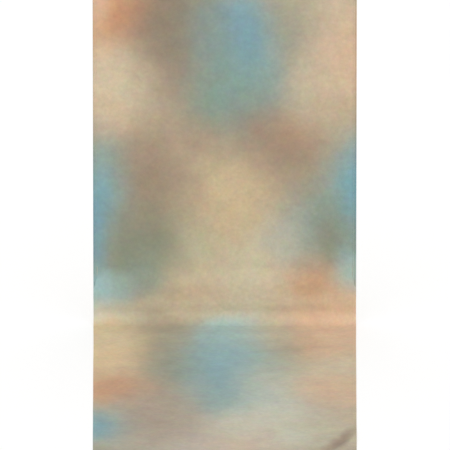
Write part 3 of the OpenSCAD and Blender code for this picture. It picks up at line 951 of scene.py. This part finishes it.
def dashes(start, run, out, length, wide=0.0004, tall=0.00032, sink=0.00012):
    """Raised stitches: start points, unit run and outward directions, and one length."""
    start, run, out = (np.asarray(a, float).reshape(-1, 3) for a in (start, run, out))
    side = np.cross(run, out)
    verts, faces = [], []
    rings = [(0.0, 0.35, -0.1), (0.5, 1.0, 1.0), (1.0, 0.35, -0.1)]
    for t, w, h in rings:
        for k, (sx, up) in enumerate([(-1, 0), (-0.55, 1), (0.55, 1), (1, 0)]):
            high = tall * h * up - (sink if up == 0 else 0)
            verts.append(start + run * (length * t) + side * (sx * w * wide) + out * high)
    verts = np.stack(verts, 1)                       # (stitches, 12, 3)
    quads = []
    for r in range(2):
        for k in range(4):
            a, b = r * 4 + k, r * 4 + (k + 1) % 4
            quads.append((a, b, b + 4, a + 4))
    quads += [(3, 2, 1, 0), (8, 9, 10, 11)]
    base = (np.arange(len(start)) * 12)[:, None, None]
    return verts.reshape(-1, 3), (base + np.array(quads)[None]).reshape(-1, 4)


def stitch_piece(name, groups):
    verts, faces, n = [], [], 0
    for g in groups:
        v, f = dashes(*g)
        verts.append(v)
        faces.append(f + n)
        n += len(v)
    return orient(new_mesh(name, np.concatenate(verts), np.concatenate(faces), mat_thread))


def rim_stitches():
    rng = np.random.RandomState(5)
    groups = []
    for inward in (12.0 * MM, 18.5 * MM):
        fine, total = rim_path(0.0062)
        p = rim_points(fine, np.full((len(fine), 1), inward), np.zeros((1, 1)))[:, 0]
        ahead = np.roll(p, -1, axis=0) - p
        gap = np.linalg.norm(ahead, axis=1, keepdims=True)
        run = ahead / gap
        p = p + run * gap * rng.uniform(0.02, 0.10, gap.shape)
        for face in (-1, 1):
            q = p.copy()
            q[:, 1] = face * 0.00150
            out = np.zeros_like(q)
            out[:, 1] = face
            groups.append((q, run, out, 0.0041))
    return stitch_piece("rim_stitches", groups)


rim_stitch = rim_stitches()


def hem_stitches(name, d0, d1, end=False):
    """Stitches along the train's hems, on the cloth's own surface."""
    groups, pitch = [], 0.0068
    for side in (-1, 1):
        v = np.arange(v_at(d0) - 0.004, v_at(d1) + 0.006, -pitch)
        x = side * (half_width(v) - 0.0165)
        p, q = front_at(x, v), front_at(side * (half_width(v - 0.0045) - 0.0165), v - 0.0045)
        n = normal_at(front_at, x, v)
        run = q - p
        run /= np.linalg.norm(run, axis=1, keepdims=True)
        groups.append((p, run, n, 0.0045))
    if end:
        x = np.arange(-HALF_W + 0.034, HALF_W - 0.036, pitch)
        v = np.full_like(x, V_END + 0.0165)
        p, q = front_at(x, v), front_at(x + 0.0045, v)
        n = normal_at(front_at, x, v)
        run = q - p
        run /= np.linalg.norm(run, axis=1, keepdims=True)
        groups.append((p, run, n, 0.0045))
    return stitch_piece(name, groups)


# the sweep's hems start where the cloth clears the rim
stitch_sweep = hem_stitches("hem_stitches_sweep", -(ARC + COVE_Y) - 0.12, 0.468)
stitch_mid = hem_stitches("hem_stitches_mid", 0.471, 1.258)
stitch_end = hem_stitches("hem_stitches_end", 1.261, 2.410, end=True)

# ------------------------------------------------------------------- hanging tabs

WEB = 1.15 * MM


def strand(x0, face, uv_out):
    """One of a tab's two webbing layers, from its sewn end up over the bead."""
    pts = np.array([(2.45, -46.0), (2.45, -41.0), (2.45, -34.0), (2.45, -27.0), (2.75, -22.0), (4.2, -16.5), (6.1, -11.5),
                    (7.2, -8.0), (7.42, -4.5), (7.25, -1.6), (6.5, 0.45), (5.2, 1.95), (3.6, 3.2), (2.2, 4.6),
                    (1.2, 6.3), (0.72, 8.2), (0.62, 10.0)]) * MM
    # finer along the curve
    t = np.concatenate([[0], np.cumsum(np.linalg.norm(np.diff(pts, axis=0), axis=1))])
    tt = np.linspace(0, t[-1], 46)
    py, pz = np.interp(tt, t, pts[:, 0]), np.interp(tt, t, pts[:, 1])
    for _ in range(3):
        py[1:-1] = (py[:-2] + 2 * py[1:-1] + py[2:]) / 4
        pz[1:-1] = (pz[:-2] + 2 * pz[1:-1] + pz[2:]) / 4
    dy, dz = np.gradient(py), np.gradient(pz)
    m = np.hypot(dy, dz)
    ny, nz = dz / m, -dy / m                  # away from the rim's middle
    w = np.concatenate([[-12.5, -12.42, -12.1], np.linspace(-11.2, 11.2, 17), [12.1, 12.42, 12.5]]) * MM
    edge = np.clip((12.5 * MM - np.abs(w)) / (0.7 * MM), 0, 1)
    half = WEB / 2 * np.sqrt(np.clip(1 - (1 - edge) ** 2, 0.03, 1))
    rib = 0.00005 * np.cos(w * 2 * math.pi / (2.8 * MM)) * (edge >= 1)
    sec = np.concatenate([np.stack([w, half + rib], 1), np.stack([w[::-1], -half[::-1]], 1)])
    x = x0 + sec[None, :, 0] + 0 * py[:, None]
    off = sec[None, :, 1]
    y = face * (py[:, None] + ny[:, None] * off)
    z = RIM_TOP + pz[:, None] + nz[:, None] * off
    verts = np.stack([x, y, z + FLOOR_Z], -1)
    k = sec.shape[0]
    faces = [tuple(f) for f in tube(len(tt), k, False)] + [tuple(range(k)), tuple((len(tt) - 1) * k + i for i in range(k))[::-1]]
    uv = np.stack([x - x0 + 0 * z, np.broadcast_to(tt[:, None], x.shape)], -1)
    uv_out.append(uv.reshape(-1, 2))
    return verts.reshape(-1, 3), faces


def plate(x0, face, uv_out):
    """The tab's flat end: round outline, and the hole the eyelet sits in."""
    base_z = RIM_TOP + 10.0 * MM - EYELET_Z
    hole, r_out, count = 6.0 * MM, 12.5 * MM, 72
    ang = np.linspace(0, 2 * math.pi, count, endpoint=False)
    corner = math.atan2(base_z, r_out)
    ang = np.sort(np.concatenate([ang, [corner % (2 * math.pi), (math.pi - corner) % (2 * math.pi)]]))
    ca, sa = np.cos(ang), np.sin(ang)
    reach = np.full_like(ang, r_out)
    low = sa < 0
    reach[low] = np.minimum(r_out / np.maximum(np.abs(ca[low]), 1e-9), base_z / sa[low])
    f = np.array([0, 0.04, 0.3, 0.6, 0.85, 0.94, 0.985, 1.0])
    lift = np.array([0.85, 1, 1, 1, 1, 1, 0.8, 0.25])
    r = hole + (reach[None, :] - hole) * f[:, None]
    x, z = r * ca[None], r * sa[None]
    half = WEB / 2 * lift[:, None] + 0 * x
    flat_foot = (np.abs(z - base_z) < 1e-7)
    half = np.where(flat_foot, WEB / 2, half)
    mid_y = face * 0.62 * MM
    top = np.stack([x0 + x, mid_y - half, z + EYELET_Z + FLOOR_Z], -1)
    bot = np.stack([x0 + x, mid_y + half, z + EYELET_Z + FLOOR_Z], -1)
    rings, k = f.size, ang.size
    verts = np.concatenate([top.reshape(-1, 3), bot.reshape(-1, 3)])
    n = rings * k
    faces = [tuple(q) for q in tube(rings, k, False)] + [tuple(q) for q in tube(rings, k, False, start=n, flip=True)]
    for ring in (0, rings - 1):
        for j in range(k):
            a, b = ring * k + j, ring * k + (j + 1) % k
            faces.append((a, b, b + n, a + n) if ring == 0 else (b, a, a + n, b + n))
    uv = np.stack([x, z + EYELET_Z - RIM_TOP + 0.0505], -1).reshape(-1, 2)
    uv_out.append(np.concatenate([uv, uv]))
    return verts, faces


def webbing_tab(name, x0):
    verts, faces, uvs, n = [], [], [], 0
    for face in (-1, 1):
        for part in (strand, plate):
            v, f = part(x0, face, uvs)
            faces += [tuple(i + n for i in q) for q in f]
            verts.append(v)
            n += len(v)
    ob = orient(new_mesh(name, np.concatenate(verts), faces, mat_web))
    set_uv(ob, "StrapUV", np.concatenate(uvs))
    return ob


def lathe(name, profile, x0, material, count=64):
    """A ring turned about the eyelet's axis; profile is (radius, depth)."""
    prof = np.array(profile) * MM
    ang = np.linspace(0, 2 * math.pi, count, endpoint=False)
    pts = np.stack([x0 + prof[None, :, 0] * np.cos(ang)[:, None],
                    prof[None, :, 1] + 0 * ang[:, None],
                    EYELET_Z + FLOOR_Z + prof[None, :, 0] * np.sin(ang)[:, None]], -1)
    return orient(new_mesh(name, pts, tube(count, len(prof), True), material))


EYELET = [(4.80, -2.05), (4.95, -2.30), (5.35, -2.42), (6.2, -2.42), (7.2, -2.32), (8.1, -2.10), (8.75, -1.80),
          (9.05, -1.48), (9.10, -1.27), (8.7, -1.26), (7.2, -1.26), (5.95, -1.26), (5.92, 0.0), (5.92, 1.9),
          (6.25, 1.99), (6.7, 2.00), (6.92, 2.12), (6.90, 2.28), (6.60, 2.38), (5.9, 2.41), (5.2, 2.38), (4.87, 2.2), (4.78, 1.6), (4.76, 0)]
WASHER = [(6.05, 1.26), (7.5, 1.26), (9.15, 1.26), (9.34, 1.36), (9.30, 1.58), (8.95, 1.80), (8.2, 1.94), (7.4, 1.94), (6.05, 1.93)]

tabs, eyelets = {}, {}
for side, x0 in TABS.items():
    tabs[side] = webbing_tab("webbing_tab_" + side, x0)
    eyelets[side] = (lathe("eyelet_ring_" + side, EYELET, x0, mat_nickel),
                     lathe("eyelet_back_washer_" + side, WASHER, x0, mat_nickel))


def box_stitches(name):
    """A box with a cross in it, on both faces of each tab's sewn end."""
    groups = []
    for x0 in TABS.values():
        for face in (-1, 1):
            lo, hi, w = -43.0 * MM, -25.5 * MM, 9.2 * MM
            lines = [((-w, lo), (w, lo)), ((w, lo), (w, hi)), ((w, hi), (-w, hi)), ((-w, hi), (-w, lo)),
                     ((-w, lo), (w, hi)), ((w, lo), (-w, hi))]
            for (ax, az), (bx, bz) in lines:
                length = math.hypot(bx - ax, bz - az)
                count = int(length / 0.0027)
                t = (np.arange(count) + 0.12) / count
                p = np.stack([x0 + ax + (bx - ax) * t, np.full(count, face * (2.45 * MM + WEB / 2 + 0.00003)),
                              RIM_TOP + FLOOR_Z + az + (bz - az) * t], -1)
                run = np.tile([(bx - ax) / length, 0, (bz - az) / length], (count, 1))
                out = np.tile([0.0, float(face), 0.0], (count, 1))
                groups.append((p, run, out, 0.0021, 0.00034, 0.00026))
    return stitch_piece(name, groups)


tab_stitches = box_stitches("tab_box_stitches")



def bar_tack(name, x0):
    """Close satin stitches across a tab's foot, which close its two layers."""
    groups, count = [], 25
    x = x0 + (np.linspace(-10.6, 10.6, count)) * MM
    for face in (-1, 1):
        p = np.stack([x, np.full(count, face * (0.62 * MM + WEB / 2 - 0.00002)),
                      np.full(count, RIM_TOP + 0.0093 + FLOOR_Z)], -1)
        run = np.tile([0.06, 0.0, 0.998], (count, 1))
        out = np.tile([0.0, float(face), 0.0], (count, 1))
        groups.append((p, run, out, 0.0031, 0.00044, 0.0004))
    return stitch_piece(name, groups)


tacks = {side: bar_tack("tab_bar_tack_" + side, x0) for side, x0 in TABS.items()}

# ------------------------------------------------- what moves with what, what it is

for ob in (front_cloth, back_lining, rim_casing, spring_band, rim_stitch):
    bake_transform(ob)
for ob in (cloth_sweep, stitch_sweep):
    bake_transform(ob)
for ob in (train_mid, stitch_mid):
    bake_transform(ob)
for ob in (train_end, stitch_end):
    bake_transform(ob)
for side, x0 in TABS.items():
    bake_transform(tabs[side])
    for ob in eyelets[side]:
        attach(ob, "tab_" + side)
    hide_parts("tab_anchor_" + side, "hang_tab_" + side)
    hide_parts("eyelet_" + side)
    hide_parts("eyelet_washer_" + side)
    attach(tacks[side], "tab_" + side)
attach(tab_stitches, "panel_upper")

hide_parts("front_muslin_upper")
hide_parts("front_muslin_lower", "train_cloth_inner")
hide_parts("train_cloth_middle")
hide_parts("train_cloth_outer")
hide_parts("back_lining_lower", "back_lining_upper")
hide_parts("rim_casing_lower", "rim_casing_upper")
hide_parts("spring_band_lower", "spring_band_upper")
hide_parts("rim_stitching_lower", "rim_stitching_upper")
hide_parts("train_hem_stitching_inner")
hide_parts("train_hem_stitching_middle")
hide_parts("train_hem_stitching_outer")
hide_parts("tab_anchor_stitching")

for name in ("band_splice_sleeve", "splice_rivets"):
    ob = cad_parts[name]
    ob.data.materials.clear()
    ob.data.materials.append(mat_steel)

# ------------------------------------------------------------- stage, light, camera

ground = new_mesh("studio_floor", [(-200, -200, FLOOR_Z - 0.0003), (200, -200, FLOOR_Z - 0.0003),
                                   (200, 200, FLOOR_Z - 0.0003), (-200, 200, FLOOR_Z - 0.0003)], [(0, 1, 2, 3)], None, False)
g_mat, g_tree, g_bsdf = shader("studio_white")
g_bsdf.inputs["Base Color"].default_value = (0.86, 0.86, 0.86, 1)
g_bsdf.inputs["Roughness"].default_value = 1.0
g_bsdf.inputs["Specular IOR Level"].default_value = 0.0
g_bsdf.inputs["Emission Color"].default_value = (1, 1, 1, 1)
g_bsdf.inputs["Emission Strength"].default_value = 0.46
ground.data.materials.append(g_mat)

world = bpy.data.worlds.new("white_cove")
world.use_nodes = True
bpy.context.scene.world = world
bg = next(n for n in world.node_tree.nodes if n.type == "BACKGROUND")
bg.inputs["Color"].default_value = (1, 1, 1, 1)
bg.inputs["Strength"].default_value = 0.65


def sun(name, azimuth, elevation, strength, spread):
    data = bpy.data.lights.new(name, "SUN")
    data.energy, data.angle = strength, math.radians(spread)
    ob = bpy.data.objects.new(name, data)
    ob.rotation_euler = (math.radians(90 - elevation), 0, math.radians(azimuth))
    bpy.context.scene.collection.objects.link(ob)
    return ob


key = sun("key_soft", 18, 43, 2.2, 14)
# the white floor is lit by the sky alone, so no hard shadow of the panel crosses it
lit = bpy.data.collections.new("key_receivers")
lit.objects.link(ground)
lit.collection_objects[0].light_linking.link_state = "EXCLUDE"
key.light_linking.receiver_collection = lit

cam_data = bpy.data.cameras.new("photo_camera")
cam_data.lens, cam_data.sensor_width, cam_data.clip_end = 1500, 36, 600
cam = bpy.data.objects.new("photo_camera", cam_data)
tilt, far = math.radians(20), 108.56
aim = (0.0014, 0.0, FLOOR_Z + 0.598)
cam.location = (aim[0], aim[1] - far * math.cos(tilt), aim[2] + far * math.sin(tilt))
cam.rotation_euler = (math.radians(70), 0, 0)
bpy.context.scene.collection.objects.link(cam)
bpy.context.scene.camera = cam
bpy.context.scene.view_settings.view_transform = "Standard"
